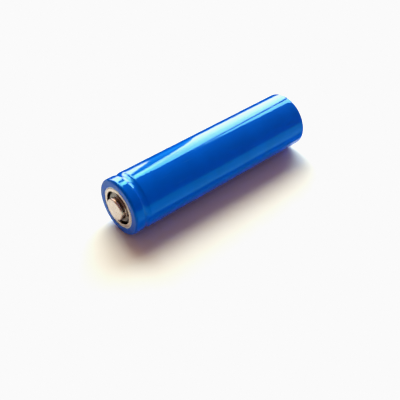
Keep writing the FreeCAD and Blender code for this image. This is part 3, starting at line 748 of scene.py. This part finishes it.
def tape_film():
    """Polyimide closing tape: clear amber, glossy, with trapped haze."""
    made, nodes = material("tape_film")
    haze = nodes.ramp(nodes.noise(0.8 * MM, 3.0), 0.4, 0.7, 0, 1)
    nodes.surface(
        Base_Color=nodes.blend(haze, (0.55, 0.24, 0.03), (0.66, 0.38, 0.10)),
        Roughness=nodes.ramp(haze, 0, 1, 0.12, 0.3),
        Coat_Weight=0.4,
        Normal=nodes.bump(haze, 0.004 * MM),
    )
    return made


def board_laminate():
    """Solder-masked laminate: green, with the glass weave just showing."""
    made, nodes = material("board_laminate")
    warp = nodes.add("ShaderNodeTexWave", {
        "Vector": nodes.spot(), "Scale": 1 / (2.4 * MM), "Distortion": 0.6,
    }, bands_direction="Y")
    weft = nodes.add("ShaderNodeTexWave", {
        "Vector": nodes.spot(), "Scale": 1 / (2.4 * MM), "Distortion": 0.6,
    }, bands_direction="Z")
    weave = nodes.maths("MULTIPLY", warp.outputs["Fac"], weft.outputs["Fac"])
    nodes.surface(
        Base_Color=nodes.blend(weave, (0.012, 0.12, 0.045), (0.02, 0.17, 0.065)),
        Roughness=0.22,
        Coat_Weight=0.3,
        Normal=nodes.bump(weave, 0.004 * MM),
    )
    return made


def chip_mould():
    """Black epoxy moulding: fine sparkle-free grain."""
    made, nodes = material("chip_mould")
    grain = nodes.noise(0.05 * MM, 3.0, 0.6)
    nodes.surface(
        Base_Color=nodes.blend(grain, (0.008, 0.008, 0.009), (0.022, 0.022, 0.024)),
        Roughness=nodes.ramp(grain, 0.3, 0.7, 0.45, 0.6),
        Normal=nodes.bump(grain, 0.004 * MM),
    )
    return made


def chip_ceramic():
    """Fired ceramic body of the small parts: tan, dry, speckled."""
    made, nodes = material("chip_ceramic")
    fleck = nodes.ramp(nodes.noise(0.06 * MM, 3.0, 0.7), 0.4, 0.65, 0, 1)
    nodes.surface(
        Base_Color=nodes.blend(fleck, (0.36, 0.28, 0.19), (0.50, 0.43, 0.33)),
        Roughness=0.6,
        Normal=nodes.bump(fleck, 0.002 * MM),
    )
    return made


def floor_paper():
    """Smooth white card under the cell; far from the cell it glows, so that no dull edge shows."""
    made, nodes = material("floor_paper")
    mottle = nodes.ramp(nodes.noise(4 * MM, 3.0), 0.3, 0.7, 0, 1)
    spread = nodes.add("ShaderNodeVectorMath", {0: nodes.spot()}, operation="LENGTH")
    nodes.surface(
        Base_Color=nodes.blend(mottle, (0.795, 0.795, 0.795), (0.805, 0.805, 0.805)),
        Emission_Color=(1, 1, 1, 1),
        Emission_Strength=nodes.ramp(
            spread.outputs["Value"], FLOOR_GLOW_START, FLOOR_GLOW_END, 0, FLOOR_GLOW,
        ),
        Roughness=0.9,
        Specular_IOR_Level=0.0,
    )
    return made


def glow(name, colour, low=1.0):
    """A light-giving surface, which falls to a share low of its glow at the window's sill."""
    made, nodes = material(name)
    strength = nodes.ramp(nodes.along("Z"), WINDOW_SILL, WINDOW_BRIGHT, low, 1.0)
    shader = nodes.add("ShaderNodeEmission", {"Color": (*colour, 1), "Strength": strength})
    nodes.add("ShaderNodeOutputMaterial", {"Surface": shader.outputs["Emission"]})
    return made


FINISHES = {
    "sleeve_film": sleeve_film(),
    "pole_nickel": pole_nickel(),
    "can_nickel": can_nickel(),
    "strip_nickel": strip_nickel(),
    "white_paper": white_paper(),
    "seal_plastic": seal_plastic(),
    "ptc_polymer": ptc_polymer(),
    "vent_aluminium": vent_aluminium(),
    "anode_coat": anode_coat(),
    "cathode_coat": cathode_coat(),
    "separator_film": separator_film(),
    "tape_film": tape_film(),
    "board_laminate": board_laminate(),
    "chip_mould": chip_mould(),
    "chip_ceramic": chip_ceramic(),
}


def paint(piece, finish):
    """Gives a piece the one material of its slot."""
    piece.data.materials.clear()
    piece.data.materials.append(FINISHES[finish])


def dress_frame():
    """Every CAD node gets the finish of its slot in the record."""
    for part in frame["record"]["subparts"]:
        paint(frame["nodes"][part["node"]], part["material_slot"])


def dress(piece, finish, node):
    """A piece made here stands for a CAD node, rides on the cell and takes its finish."""
    paint(piece, finish)
    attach(piece, "root")
    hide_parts(node)


# ---------------------------------------------------------------- studio

def panel(name, corners, finish):
    """A flat stage panel through corners in the row frame."""
    mesh = bpy.data.meshes.new(name)
    mesh.from_pydata(corners, [], [tuple(range(len(corners)))])
    mesh.materials.append(finish)
    made = bpy.data.objects.new(name, mesh)
    bpy.context.scene.collection.objects.link(made)
    return made


def on_wall(across, height, distance=WALL_DISTANCE):
    """A point of the window wall; across grows to the left as the cell faces the wall."""
    toward = Vector((cos(WALL_AZIMUTH), sin(WALL_AZIMUTH), 0))
    left = Vector((-sin(WALL_AZIMUTH), cos(WALL_AZIMUTH), 0))
    return toward * distance + left * across + Vector((0, 0, height))


def reflected_only(card):
    """A card that shows in reflections and does nothing else, as a studio places them."""
    card.visible_camera = False
    card.visible_diffuse = False
    card.visible_shadow = False


def make_window():
    """What the film mirrors of the window: three panes, a gap and a dim, leaning post."""
    daylight = glow("daylight", PANE_GLOW, SILL_SHARE)
    post = glow("post_light", POST_GLOW)
    parts = {
        "pane_right": (WINDOW_RIGHT, GAP_RIGHT, daylight),
        "pane_middle": (GAP_LEFT, POST_RIGHT, daylight),
        "post": (POST_RIGHT, POST_LEFT, post),
        "pane_left": (POST_LEFT, WINDOW_LEFT, daylight),
    }
    for name, (right, left, finish) in parts.items():
        reflected_only(panel(name, [
            on_wall(right[0], WINDOW_SILL),
            on_wall(left[0], WINDOW_SILL),
            on_wall(left[1], WINDOW_HEAD),
            on_wall(right[1], WINDOW_HEAD),
        ], finish))


def floor_card(name, start, end, reach, finish):
    """A card just above the floor from y start to y end, from the near face to x reach."""
    reflected_only(panel(name, [
        Vector((NEAR_FACE, start, CARD_LIFT)),
        Vector((NEAR_FACE, end, CARD_LIFT)),
        Vector((reach, end, CARD_LIFT)),
        Vector((reach, start, CARD_LIFT)),
    ], finish))


def make_cards():
    """Dark cards behind the cell give it a dark far edge; cool ones before it keep its side blue."""
    dark = glow("flag_dark", (0.0, 0.01, 0.02))
    reflected_only(panel("flag_standing", [
        on_wall(-FLAG_HALF, FLAG_LOW, FLAG_DISTANCE),
        on_wall(FLAG_HALF, FLAG_LOW, FLAG_DISTANCE),
        on_wall(FLAG_HALF, FLAG_HIGH, FLAG_DISTANCE),
        on_wall(-FLAG_HALF, FLAG_HIGH, FLAG_DISTANCE),
    ], dark))
    floor_card("flag_lying", CARD_NEAR, FLAG_FAR, FLAG_FAR, dark)
    shaded = glow("floor_in_shade", (0.03, 0.24, 0.06))
    lit = glow("floor_in_light", (0.4, 1.25, 1.05))
    floor_card("card_near", -CARD_NEAR, -SHADE_END, CARD_FAR, shaded)
    floor_card("card_far", -SHADE_END, -CARD_FAR, CARD_FAR, lit)


def area_light(name, place_at, toward, size, colour, power, mirrored=False):
    """A soft light at a place, shining against toward; reflections show it if it is mirrored."""
    lamp = bpy.data.lights.new(name, "AREA")
    lamp.shape = "RECTANGLE"
    lamp.size, lamp.size_y = size
    lamp.color = colour
    lamp.energy = power
    light = bpy.data.objects.new(name, lamp)
    light.location = place_at
    light.rotation_euler = toward.to_track_quat("Z", "Y").to_euler()
    light.visible_glossy = mirrored
    bpy.context.scene.collection.objects.link(light)
    return light


def make_lights(sleeve):
    """The window's light, weaker on the film than elsewhere, and a warmer one from higher up."""
    from_window = Vector((cos(WALL_AZIMUTH), sin(WALL_AZIMUTH), 0))
    for name, colour, power, state in (
        ("window_light", WINDOW_COLOUR, WINDOW_POWER, "EXCLUDE"),
        ("window_light_on_film", FILM_LIGHT_COLOUR, FILM_LIGHT_POWER, "INCLUDE"),
    ):
        light = area_light(
            name,
            on_wall(WINDOW_MIDDLE, WINDOW_HEIGHT),
            from_window,
            WINDOW_SIZE,
            colour,
            power,
        )
        lit = bpy.data.collections.new(name)
        lit.objects.link(sleeve)
        lit.collection_objects[0].light_linking.link_state = state
        light.light_linking.receiver_collection = lit
    toward = Vector((
        cos(LAMP_AZIMUTH) * cos(LAMP_ELEVATION),
        sin(LAMP_AZIMUTH) * cos(LAMP_ELEVATION),
        sin(LAMP_ELEVATION),
    ))
    area_light(
        "lamp_light",
        toward * LAMP_DISTANCE,
        toward,
        (LAMP_WIDTH, LAMP_WIDTH),
        LAMP_COLOUR,
        LAMP_POWER,
        mirrored=True,
    )


def make_floor():
    """The pale card that the cell lies on."""
    panel("floor", [
        Vector((FLOOR_REACH * cos(turn), FLOOR_REACH * sin(turn), 0))
        for turn in all_round(FLOOR_CORNERS)
    ], floor_paper())


def make_room():
    """Warm light of the room from all round; the camera sees the card's white past the floor."""
    world = bpy.data.worlds.new("room")
    bpy.context.scene.world = world
    nodes = Nodes(world)
    room = nodes.add("ShaderNodeBackground", {"Color": (*ROOM_LIGHT, 1), "Strength": 1.0})
    page = nodes.add("ShaderNodeBackground", {"Color": (1, 1, 1, 1), "Strength": 1.0})
    path = nodes.add("ShaderNodeLightPath")
    mixed = nodes.add("ShaderNodeMixShader", {
        0: path.outputs["Is Camera Ray"],
        1: room.outputs["Background"],
        2: page.outputs["Background"],
    })
    nodes.add("ShaderNodeOutputWorld", {"Surface": mixed.outputs["Shader"]})


def expose():
    """A plain transform whose whites stop just short of paper white, as in the photograph."""
    settings = bpy.context.scene.view_settings
    settings.view_transform = "Standard"
    settings.look = "None"
    settings.use_curve_mapping = True
    combined = settings.curve_mapping.curves[3]
    combined.points[0].location = (0, 0)
    combined.points[1].location = (WHITEST, WHITEST)
    for point in combined.points:
        point.handle_type = "VECTOR"
    settings.curve_mapping.extend = "HORIZONTAL"
    settings.curve_mapping.update()


def make_camera():
    """The camera at the photograph's viewing angle."""
    back = Vector((
        sin(CAMERA_AZIMUTH) * cos(CAMERA_ELEVATION),
        -cos(CAMERA_AZIMUTH) * cos(CAMERA_ELEVATION),
        sin(CAMERA_ELEVATION),
    ))
    right = Vector((cos(CAMERA_AZIMUTH), sin(CAMERA_AZIMUTH), 0))
    axes = Matrix((right, back.cross(right), back)).transposed()
    rolled = axes @ Matrix.Rotation(CAMERA_ROLL, 3, "Z")
    lens = bpy.data.cameras.new("camera")
    lens.lens = CAMERA_LENS
    lens.clip_start = 0.005
    lens.clip_end = 20
    camera = bpy.data.objects.new("camera", lens)
    camera.matrix_world = Matrix.Translation(CAMERA_TARGET + back * CAMERA_DISTANCE) @ rolled.to_4x4()
    bpy.context.scene.collection.objects.link(camera)
    bpy.context.scene.camera = camera


dress_frame()
sleeve = make_sleeve()
dress(sleeve, "sleeve_film", "shrink_sleeve")
dress(make_button_plate(), "pole_nickel", "button_plate")
dress(make_near_washer(), "white_paper", "top_washer")
dress(make_far_washer(), "white_paper", "tail_washer")
dress(make_contact(), "pole_nickel", "negative_plate")

make_floor()
make_room()
make_window()
make_cards()
make_lights(sleeve)
make_camera()
expose()
